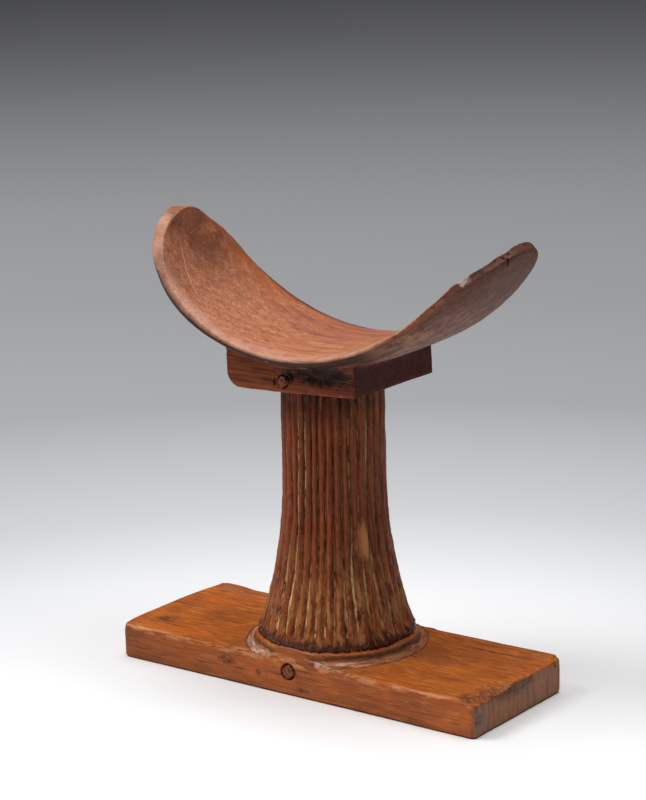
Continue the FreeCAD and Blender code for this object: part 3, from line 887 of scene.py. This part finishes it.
def rest_wood(add):
    """Reddish hardwood polished by use. The grain runs from wing to wing, so that the rings show
    as ovals where the wings stand up, and the outside and the block are darker and duller."""
    place, along, fibres, pores = grain(add, (0.05, 1, 1))
    rings = growth_rings(add, along, (0, 1, 199), 3.4, wander=8)
    side = add("NewGeometry", None, out=1)
    to_middle = add("VectorMath", MINUS, (CURVE_X * MM, 0, CURVE_Z * MM), place)
    to_middle = add("VectorMath", {"operation": "NORMALIZE"}, to_middle)
    inward = add("VectorMath", {"operation": "DOT_PRODUCT"}, side, to_middle)
    inner = add("MapRange", EASE, inward, 0.25, 0.6, 0.0, 1.0)
    ring_tone = add("ValToRGB", None, rings, stops=((0.0, 0.5), (0.5, 1.0), (1.0, 0.7)))
    long = add("VectorMath", TIMES, along, (0.5, 1, 1))
    shadows = patches(add, place, 16, (0.38, 0.6), 5.0)
    figure = curved_figure(add, place)

    hollow = hollow_grain(add, place, long, fibres, ring_tone, inner, figure, shadows)
    hollow = hollow_stains(add, hollow, place, long, figure[2])
    outside = dull_outside(add, place, long, fibres, ring_tone, figure)
    colour = add("Mix", LAY, inner, outside, hollow)
    colour = rim_sheen_and_shade(add, colour, place, side, inner, inward)
    colour, crust_and_lip_shadow = block_faces(add, colour, place, long, fibres, side, inner)
    colour = add("Mix", LAY, add("Math", TIMES, pores, 0.45), colour, "#3a1a10")
    # Partly wear, partly painted sheen: pale wood on the sharp outer edges
    worn = add("Math", TIMES, arris(add, 0.515, 0.57), patches(add, place, 5, (0.4, 0.6)))
    colour = add("Mix", LAY, add("Math", TIMES, worn, 0.6), colour, "#c08059")
    hollows = arris(add, 0.49, 0.43)
    colour = add("Mix", LAY, add("Math", TIMES, hollows, 0.6), colour, "#1f0d08")

    height = add("Math", MINUS, fibres, add("Math", TIMES, pores, 0.8))
    height = add("Math", PLUS, height, add("Math", TIMES, add("Math", TIMES, crust_and_lip_shadow, shadows), 2.0))
    roughness = add("ValToRGB", None, fibres, stops=((0.2, 0.4), (0.8, 0.55)))
    dull = add("Math", LARGER, crust_and_lip_shadow, add("Math", MINUS, 1.0, inner))
    roughness = add("Mix", LAY, add("Math", TIMES, dull, 0.7), roughness, [0.75, 0.75, 0.75, 1])
    return colour, roughness, height, 0.2


rest.data.materials.append(finish("polished_neck_rest", rest_wood, 0.3))
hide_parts("neck_rest")
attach(rest, "root")

# ---------------------------------------------------------------------------------------------
# Pegs
# Two round pegs, whittled from the same wood and driven in from the front to lock the tenons.
# Their ends are worn, split and dark with handling.
# ---------------------------------------------------------------------------------------------

PEG_SKIN = 0.3


def peg_wood(add):
    """End of a whittled peg: brown end grain with dark splits."""
    place, _, fibres, _ = grain(add, (1, 0.1, 1))
    colour = add("ValToRGB", None, fibres, stops=((0.3, "#5e2c15"), (0.5, "#8a4a26"), (0.7, "#a05d33")))
    splits = patches(add, place, 2.0, (0.5, 0.6), 5.0)
    colour = add("Mix", LAY, add("Math", TIMES, splits, 0.7), colour, "#351509")
    hollows = arris(add, 0.49, 0.43)
    colour = add("Mix", LAY, hollows, colour, "#2a100a")
    height = add("Math", MINUS, fibres, splits)
    roughness = add("ValToRGB", None, fibres, stops=((0.2, 0.5), (0.8, 0.65)))
    return colour, roughness, height, 0.3


peg_finish = finish("whittled_peg", peg_wood, 0.3)
for node in ("base_peg", "neck_rest_peg"):
    peg = blank(node, node + "_whittled", PEG_SKIN)
    carve(peg, 2.2, 0.8, detail=2)
    peg.data.materials.append(peg_finish)
    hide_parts(node)
    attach(peg, "root")

# ---------------------------------------------------------------------------------------------
# Studio
# A wide pale floor, painted lightest round the headrest and darker away from it, soft lights and the
# camera.
# ---------------------------------------------------------------------------------------------

FLOOR_R = 9
FLOOR_SPAN = 4.0

bpy.ops.object.select_all(action="DESELECT")
bpy.ops.mesh.primitive_circle_add(vertices=128, radius=FLOOR_R, fill_type="NGON")
floor = bpy.context.object
floor.name = "floor"

# Matt grey-white paper with a painted pool of light: lightest round the headrest, darker behind
# it, and cooler further out
paper = bpy.data.materials.new("matt_studio_paper")
paper.use_nodes = True
add = adder(paper)
spot = add("VectorMath", PLUS, add("TexCoord", None, out=3), (-0.06, 0.08, 0))
far = add("VectorMath", LENGTH, spot)
reach = add("MapRange", None, far, 0.0, FLOOR_SPAN, 0.0, 1.0)
# Painted light: the paper's grey falls off with distance from the headrest
shade = add("ValToRGB", None, reach, stops=(
    (0.0, 0.87), (0.035, 0.83), (0.06, 0.71), (0.095, 0.51),
    (0.16, 0.34), (0.25, 0.34), (0.38, 0.42), (0.55, 0.50), (0.9, 0.56),
))
cool = add("MapRange", EASE, reach, 0.0, 0.12, 0.0, 1.0)
shade = add("Mix", STAIN, cool, shade, "#f9fbff")
sheet = paper.node_tree.nodes["Principled BSDF"]
paper.node_tree.links.new(shade, sheet.inputs["Base Color"])
sheet.inputs["Roughness"].default_value = 0.9
floor.data.materials.append(paper)

# Two square soft lights: their names, places, widths and watts
LIGHTS = [
    ("key", (-1.0, -0.7, 1.7), 0.9, 25),
    ("overhead", (0.12, 0.15, 1.9), 1.4, 36),
]
for name, place, size, watts in LIGHTS:
    bpy.ops.object.light_add(type="AREA", location=place)
    lamp = bpy.context.object
    lamp.name = name
    lamp.data.size = size
    lamp.data.energy = watts
    aim = Vector((0, 0, 0.12)) - Vector(place)
    lamp.rotation_euler = aim.to_track_quat("-Z", "Y").to_euler()

world = bpy.data.worlds.new("studio")
bpy.context.scene.world = world
world.use_nodes = True
background = world.node_tree.nodes["Background"]
background.inputs["Color"].default_value = (0.8, 0.8, 0.8, 1)
background.inputs["Strength"].default_value = 0.08

TARGET = Vector((27.0, -43.9, 146.0)) * MM
AZIMUTH, ELEVATION, ROLL = (math.radians(a) for a in (36.64, 13.78, -1.149))
DISTANCE = 1.1243
LENS = 114.8
turn = Matrix.Rotation(AZIMUTH, 4, "Z") @ Matrix.Rotation(math.pi / 2 - ELEVATION, 4, "X")
back = turn @ Vector((0, 0, DISTANCE))
bpy.ops.object.camera_add()
camera = bpy.context.object
camera.matrix_world = Matrix.Translation(TARGET + back) @ turn @ Matrix.Rotation(ROLL, 4, "Z")
camera.data.lens = LENS
camera.data.clip_start = 0.05
bpy.context.scene.camera = camera
bpy.context.scene.view_settings.view_transform = "Standard"
